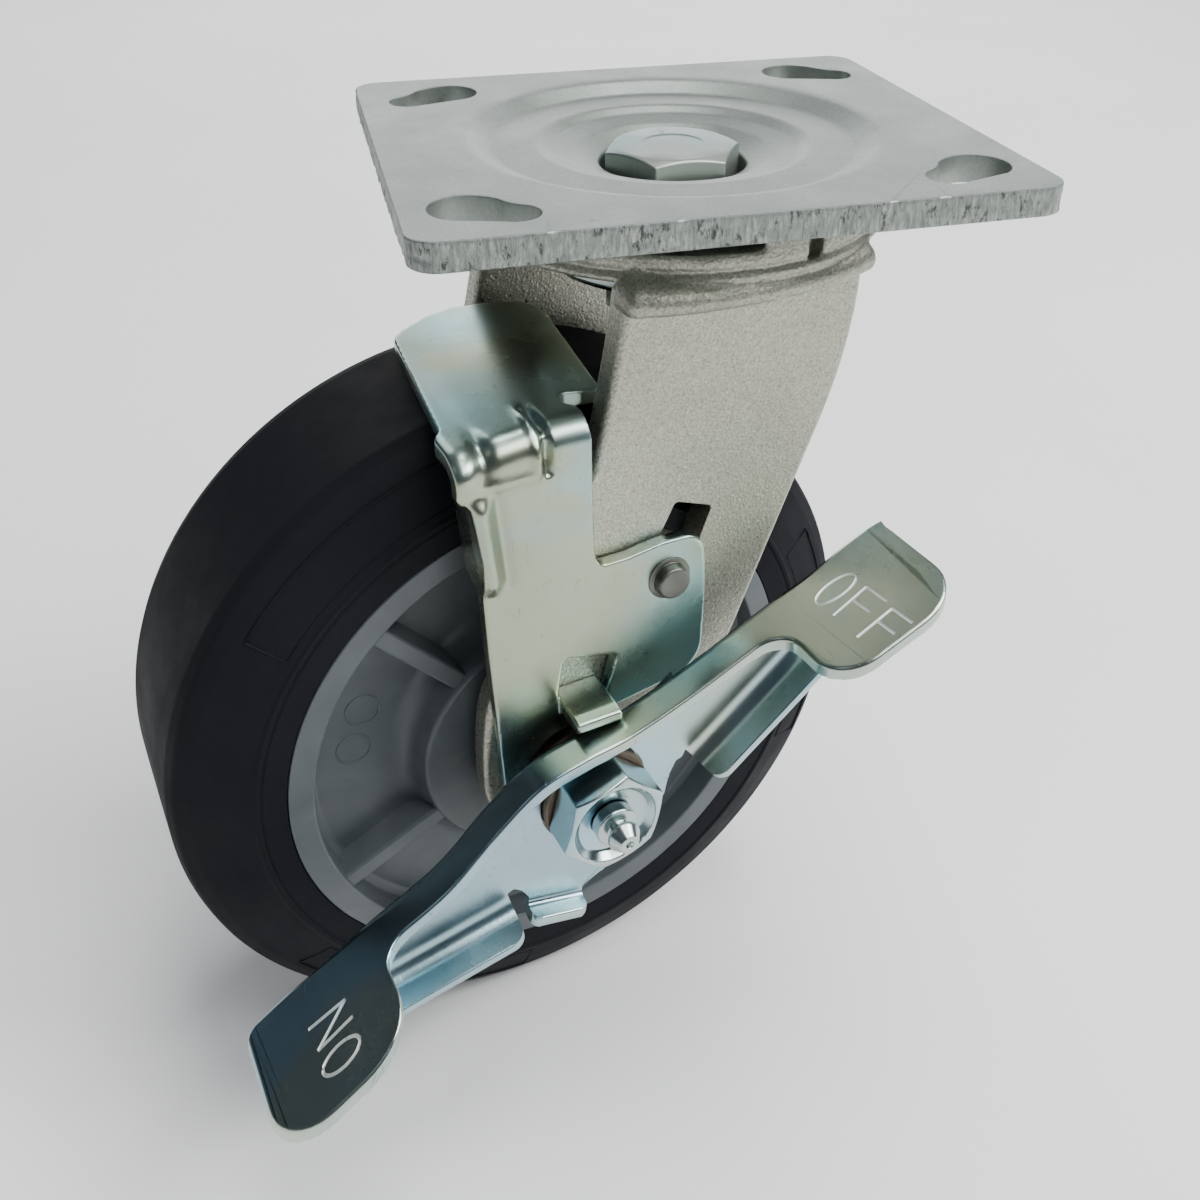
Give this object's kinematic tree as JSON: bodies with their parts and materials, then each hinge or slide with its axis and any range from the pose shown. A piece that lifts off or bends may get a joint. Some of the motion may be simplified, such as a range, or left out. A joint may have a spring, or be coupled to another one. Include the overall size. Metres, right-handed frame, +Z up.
{
  "type": "gate wheel",
  "caption": "Swivel plate castor for a heavy gate: ball-race swivel, steel fork, rubber-tyred wheel and a side toggle brake whose shoe presses on the tread.",
  "frame": {"origin": "on the kingpin's swivel axis, level with the top plate's upper face", "axes": "+Z up out of the plate's upper face, X along the plate's long edges, Y along its short edges; the fork and wheel stand turned 12.7 degrees about +Z at rest"},
  "size_m": [0.1737, 0.1415, 0.1905],
  "materials": {
    "satin_zinc": "satin zinc plate with a fine rolled grain, sheared edges",
    "blasted_zinc": "zinc over shot-blasted steel, sparkling and slightly rough",
    "bright_zinc": "bright zinc with a faint blue and straw sheen, scratched",
    "bare_steel": "oiled brown sintered steel",
    "dark_steel": "greased hardened bearing steel",
    "rubber": "black moulded rubber with a faint bloom",
    "plastic": "mid grey moulded plastic, satin"
  },
  "bodies": {
    "plate": {"top_plate": "satin_zinc", "kingpin_bolt": "bright_zinc", "kingpin_nut": "bright_zinc", "lower_race_cup": "bright_zinc"},
    "fork": {"upper_ball_ring": "dark_steel", "lower_ball_ring": "dark_steel", "fork_crown": "blasted_zinc", "fork_leg_near": "blasted_zinc", "fork_leg_far": "blasted_zinc", "axle_bolt": "bright_zinc", "grease_nipple": "bright_zinc", "axle_nut": "bright_zinc", "axle_washer": "bright_zinc", "axle_sleeve": "bare_steel", "lever_bushing": "bare_steel", "pivot_rivet": "bare_steel", "thrust_washer_near": "bright_zinc", "thrust_washer_far": "bright_zinc"},
    "wheel": {"wheel_core": "plastic", "wheel_tyre": "rubber", "roller_bearing": "dark_steel", "hub_race": "dark_steel", "bearing_cap_near": "dark_steel", "bearing_cap_far": "dark_steel"},
    "lever": {"brake_lever": "bright_zinc"},
    "shoe": {"brake_shoe": "bright_zinc"}
  },
  "joints": [
    {"name": "swivel", "type": "hinge", "parent": "plate", "child": "fork", "pos_m": [0, 0, 0], "axis": [0, 0, 1], "continuous": true},
    {"name": "wheel_spin", "type": "hinge", "parent": "fork", "child": "wheel", "pos_m": [-0.0398, -0.00897, -0.1155], "axis": [-0.2198, 0.9755, 0], "continuous": true},
    {"name": "brake_lever_turn", "type": "hinge", "parent": "fork", "child": "lever", "pos_m": [-0.0398, -0.00897, -0.1155], "axis": [-0.2198, 0.9755, 0], "range_deg": [0, 30]},
    {"name": "brake_shoe_swing", "type": "hinge", "parent": "fork", "child": "shoe", "pos_m": [-0.02, -0.00451, -0.0756], "axis": [-0.2198, 0.9755, 0], "range_deg": [0, 3]}
  ],
  "couplings": [
    {"joint": "brake_shoe_swing", "follows": "brake_lever_turn", "ratio": 0.1}
  ]
}
